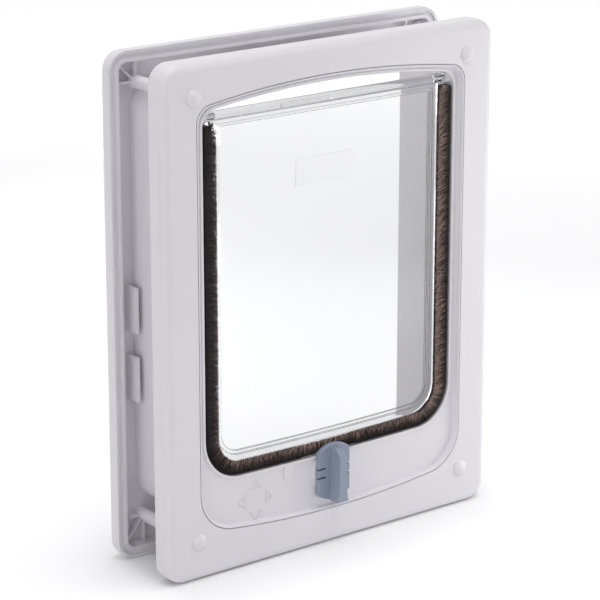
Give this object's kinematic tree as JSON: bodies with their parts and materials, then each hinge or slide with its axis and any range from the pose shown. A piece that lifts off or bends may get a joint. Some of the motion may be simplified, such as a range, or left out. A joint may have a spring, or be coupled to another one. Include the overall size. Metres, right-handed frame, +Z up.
{
  "type": "dog door",
  "caption": "Two-frame dog door with a clear flap that swings both ways on a top hinge bar, a pile seal round it and a turn lock below.",
  "frame": {"origin": "middle of the bounding box at the bottom edges that the frames stand on", "axes": "+Z up, +X to the right seen from the room, +Y from the room out through the door"},
  "size_m": [0.285, 0.085, 0.36],
  "materials": {
    "white_plastic": "fine satin moulding",
    "clear_plastic": "clear polished",
    "pile": "dense dark pile",
    "backing_strip": "woven strip",
    "slate_plastic": "satin moulding",
    "steel": "zinc plated"
  },
  "bodies": {
    "frames": {"inner_frame": "white_plastic", "outer_frame": "white_plastic", "pile_brush": "pile", "pile_backing": "backing_strip", "hinge_pin_left": "steel", "hinge_pin_right": "steel", "frame_screw_top_left": "steel", "screw_cap_top_left": "white_plastic", "frame_screw_top_right": "steel", "screw_cap_top_right": "white_plastic", "frame_screw_bottom_left": "steel", "screw_cap_bottom_left": "white_plastic", "frame_screw_bottom_right": "steel", "screw_cap_bottom_right": "white_plastic"},
    "flap": {"flap": "clear_plastic"},
    "lock": {"lock_knob": "slate_plastic", "lock_rotor": "slate_plastic", "lock_washer": "steel", "lock_screw": "steel"}
  },
  "joints": [
    {"name": "flap_swing", "type": "hinge", "parent": "frames", "child": "flap", "pos_m": [0, -0.0214, 0.3205], "axis": [1, 0, 0], "range_deg": [-85, 85]},
    {"name": "lock_turn", "type": "hinge", "parent": "frames", "child": "lock", "pos_m": [0, 0, 0.053], "axis": [0, 1, 0], "range_deg": [-90, 180]}
  ]
}
